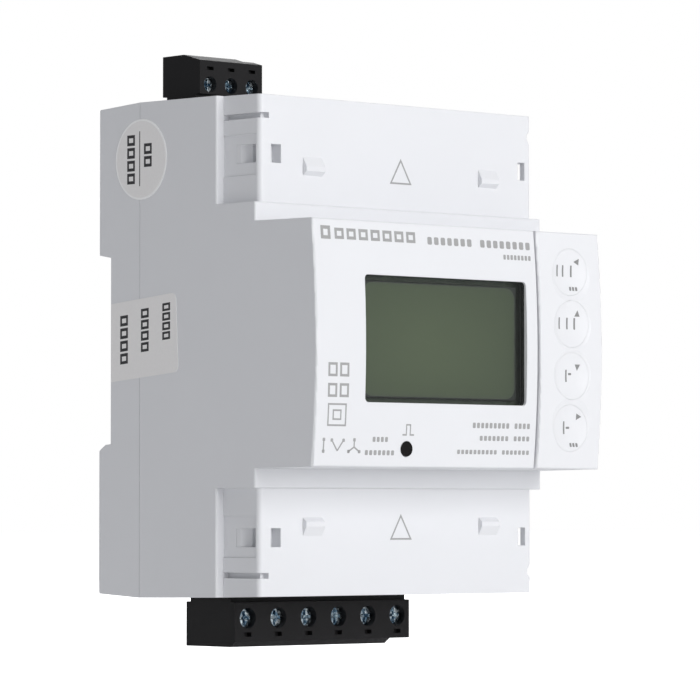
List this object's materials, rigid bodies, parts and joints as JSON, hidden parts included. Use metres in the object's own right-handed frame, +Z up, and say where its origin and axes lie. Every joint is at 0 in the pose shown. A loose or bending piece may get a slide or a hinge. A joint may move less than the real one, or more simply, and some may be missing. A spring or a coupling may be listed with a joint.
{
  "type": "smart electric meter",
  "caption": "Rail-mounted electricity meter: stepped white housing, grey display, round keys, black plug-in terminal blocks with clamp screws, and a sprung rail latch.",
  "frame": {"origin": "middle of the rail seat, the face that rests on the front of a 35 mm mounting rail", "axes": "+X along the rail, towards the keypad side; -Y out of the front face; +Y towards the rail; +Z up"},
  "size_m": [0.0721, 0.0631, 0.1105],
  "materials": {
    "housing_white": "fine matt moulding",
    "keypad_white": "fine matt moulding",
    "window_clear": "clear polished",
    "display_grey": "grey-green polariser",
    "frame_black": "matt",
    "light_guide": "translucent white",
    "board_green": "solder mask",
    "component_black": "moulded",
    "connector_black": "satin",
    "zinc_steel": "zinc plated",
    "contact_metal": "tinned",
    "core_steel": "laminated",
    "winding_tape": "tape",
    "capacitor_can": "sleeved",
    "cell_steel": "bright",
    "lamp_dark": "dark tinted",
    "spring_steel": "bright wire",
    "latch_white": "fine matt moulding",
    "label_paper": "coated"
  },
  "bodies": {
    "meter": {"rear_base": "housing_white", "front_housing": "housing_white", "keypad_frame": "keypad_white", "key_switches": "component_black", "lcd_window": "window_clear", "lcd_frame": "frame_black", "lcd_glass": "display_grey", "lcd_backlight": "light_guide", "pulse_lens": "lamp_dark", "pulse_led": "light_guide", "main_board": "board_green", "main_board_screws": "zinc_steel", "display_board": "board_green", "display_board_screws": "zinc_steel", "riser_board": "board_green", "board_links": "component_black", "metering_chip": "component_black", "processor_chip": "component_black", "transformer_core": "core_steel", "transformer_winding": "winding_tape", "supply_capacitors": "capacitor_can", "backup_cell": "cell_steel", "top_header": "connector_black", "top_header_pins": "contact_metal", "low_header": "connector_black", "low_header_pins": "contact_metal", "latch_spring": "spring_steel", "round_label": "label_paper", "seal_label": "label_paper"},
    "key_1": {"key_1": "keypad_white", "switch_plunger_1": "component_black"},
    "key_2": {"key_2": "keypad_white", "switch_plunger_2": "component_black"},
    "key_3": {"key_3": "keypad_white", "switch_plunger_3": "component_black"},
    "key_4": {"key_4": "keypad_white", "switch_plunger_4": "component_black"},
    "rail_latch": {"rail_latch": "latch_white"},
    "top_plug": {"top_plug": "connector_black", "top_plug_contacts": "contact_metal"},
    "top_clamp_screw_1": {"top_clamp_screw_1": "zinc_steel"},
    "top_clamp_1": {"top_clamp_1": "zinc_steel"},
    "top_clamp_screw_2": {"top_clamp_screw_2": "zinc_steel"},
    "top_clamp_2": {"top_clamp_2": "zinc_steel"},
    "top_clamp_screw_3": {"top_clamp_screw_3": "zinc_steel"},
    "top_clamp_3": {"top_clamp_3": "zinc_steel"},
    "low_plug": {"low_plug": "connector_black", "low_plug_contacts": "contact_metal"},
    "low_clamp_screw_1": {"low_clamp_screw_1": "zinc_steel"},
    "low_clamp_1": {"low_clamp_1": "zinc_steel"},
    "low_clamp_screw_2": {"low_clamp_screw_2": "zinc_steel"},
    "low_clamp_2": {"low_clamp_2": "zinc_steel"},
    "low_clamp_screw_3": {"low_clamp_screw_3": "zinc_steel"},
    "low_clamp_3": {"low_clamp_3": "zinc_steel"},
    "low_clamp_screw_4": {"low_clamp_screw_4": "zinc_steel"},
    "low_clamp_4": {"low_clamp_4": "zinc_steel"},
    "low_clamp_screw_5": {"low_clamp_screw_5": "zinc_steel"},
    "low_clamp_5": {"low_clamp_5": "zinc_steel"},
    "low_clamp_screw_6": {"low_clamp_screw_6": "zinc_steel"},
    "low_clamp_6": {"low_clamp_6": "zinc_steel"}
  },
  "joints": [
    {"name": "key_1_press", "type": "slide", "parent": "meter", "child": "key_1", "axis": [0, 1, 0], "range_m": [0, 0.0004], "stiffness_N_per_m": 3000},
    {"name": "key_2_press", "type": "slide", "parent": "meter", "child": "key_2", "axis": [0, 1, 0], "range_m": [0, 0.0004], "stiffness_N_per_m": 3000},
    {"name": "key_3_press", "type": "slide", "parent": "meter", "child": "key_3", "axis": [0, 1, 0], "range_m": [0, 0.0004], "stiffness_N_per_m": 3000},
    {"name": "key_4_press", "type": "slide", "parent": "meter", "child": "key_4", "axis": [0, 1, 0], "range_m": [0, 0.0004], "stiffness_N_per_m": 3000},
    {"name": "rail_latch_slide", "type": "slide", "parent": "meter", "child": "rail_latch", "axis": [0, 0, -1], "range_m": [0, 0.0025], "stiffness_N_per_m": 800, "springref_m": -0.003, "deforming": ["latch_spring"]},
    {"name": "top_plug_pull", "type": "slide", "parent": "meter", "child": "top_plug", "axis": [0, 0, 1], "range_m": [0, 0.012]},
    {"name": "top_clamp_screw_1_turn", "type": "hinge", "parent": "top_plug", "child": "top_clamp_screw_1", "pos_m": [-0.02848, -0.018, 0.04935], "axis": [0, 1, 0], "range_deg": [0, 1440]},
    {"name": "top_clamp_1_lift", "type": "slide", "parent": "top_plug", "child": "top_clamp_1", "axis": [0, -1, 0], "range_m": [0, 0.0018]},
    {"name": "top_clamp_screw_2_turn", "type": "hinge", "parent": "top_plug", "child": "top_clamp_screw_2", "pos_m": [-0.0234, -0.018, 0.04935], "axis": [0, 1, 0], "range_deg": [0, 1440]},
    {"name": "top_clamp_2_lift", "type": "slide", "parent": "top_plug", "child": "top_clamp_2", "axis": [0, -1, 0], "range_m": [0, 0.0018]},
    {"name": "top_clamp_screw_3_turn", "type": "hinge", "parent": "top_plug", "child": "top_clamp_screw_3", "pos_m": [-0.01832, -0.018, 0.04935], "axis": [0, 1, 0], "range_deg": [0, 1440]},
    {"name": "top_clamp_3_lift", "type": "slide", "parent": "top_plug", "child": "top_clamp_3", "axis": [0, -1, 0], "range_m": [0, 0.0018]},
    {"name": "low_plug_pull", "type": "slide", "parent": "meter", "child": "low_plug", "axis": [0, 0, -1], "range_m": [0, 0.012]},
    {"name": "low_clamp_screw_1_turn", "type": "hinge", "parent": "low_plug", "child": "low_clamp_screw_1", "pos_m": [-0.02225, -0.018, -0.05005], "axis": [0, 1, 0], "range_deg": [0, 1800]},
    {"name": "low_clamp_1_lift", "type": "slide", "parent": "low_plug", "child": "low_clamp_1", "axis": [0, -1, 0], "range_m": [0, 0.0025]},
    {"name": "low_clamp_screw_2_turn", "type": "hinge", "parent": "low_plug", "child": "low_clamp_screw_2", "pos_m": [-0.01475, -0.018, -0.05005], "axis": [0, 1, 0], "range_deg": [0, 1800]},
    {"name": "low_clamp_2_lift", "type": "slide", "parent": "low_plug", "child": "low_clamp_2", "axis": [0, -1, 0], "range_m": [0, 0.0025]},
    {"name": "low_clamp_screw_3_turn", "type": "hinge", "parent": "low_plug", "child": "low_clamp_screw_3", "pos_m": [-0.00725, -0.018, -0.05005], "axis": [0, 1, 0], "range_deg": [0, 1800]},
    {"name": "low_clamp_3_lift", "type": "slide", "parent": "low_plug", "child": "low_clamp_3", "axis": [0, -1, 0], "range_m": [0, 0.0025]},
    {"name": "low_clamp_screw_4_turn", "type": "hinge", "parent": "low_plug", "child": "low_clamp_screw_4", "pos_m": [0.00025, -0.018, -0.05005], "axis": [0, 1, 0], "range_deg": [0, 1800]},
    {"name": "low_clamp_4_lift", "type": "slide", "parent": "low_plug", "child": "low_clamp_4", "axis": [0, -1, 0], "range_m": [0, 0.0025]},
    {"name": "low_clamp_screw_5_turn", "type": "hinge", "parent": "low_plug", "child": "low_clamp_screw_5", "pos_m": [0.00775, -0.018, -0.05005], "axis": [0, 1, 0], "range_deg": [0, 1800]},
    {"name": "low_clamp_5_lift", "type": "slide", "parent": "low_plug", "child": "low_clamp_5", "axis": [0, -1, 0], "range_m": [0, 0.0025]},
    {"name": "low_clamp_screw_6_turn", "type": "hinge", "parent": "low_plug", "child": "low_clamp_screw_6", "pos_m": [0.01525, -0.018, -0.05005], "axis": [0, 1, 0], "range_deg": [0, 1800]},
    {"name": "low_clamp_6_lift", "type": "slide", "parent": "low_plug", "child": "low_clamp_6", "axis": [0, -1, 0], "range_m": [0, 0.0025]}
  ],
  "couplings": [
    {"joint": "top_clamp_screw_1_turn", "follows": "top_clamp_1_lift", "rad_per_m": 13963},
    {"joint": "top_clamp_screw_2_turn", "follows": "top_clamp_2_lift", "rad_per_m": 13963},
    {"joint": "top_clamp_screw_3_turn", "follows": "top_clamp_3_lift", "rad_per_m": 13963},
    {"joint": "low_clamp_screw_1_turn", "follows": "low_clamp_1_lift", "rad_per_m": 12566},
    {"joint": "low_clamp_screw_2_turn", "follows": "low_clamp_2_lift", "rad_per_m": 12566},
    {"joint": "low_clamp_screw_3_turn", "follows": "low_clamp_3_lift", "rad_per_m": 12566},
    {"joint": "low_clamp_screw_4_turn", "follows": "low_clamp_4_lift", "rad_per_m": 12566},
    {"joint": "low_clamp_screw_5_turn", "follows": "low_clamp_5_lift", "rad_per_m": 12566},
    {"joint": "low_clamp_screw_6_turn", "follows": "low_clamp_6_lift", "rad_per_m": 12566}
  ]
}
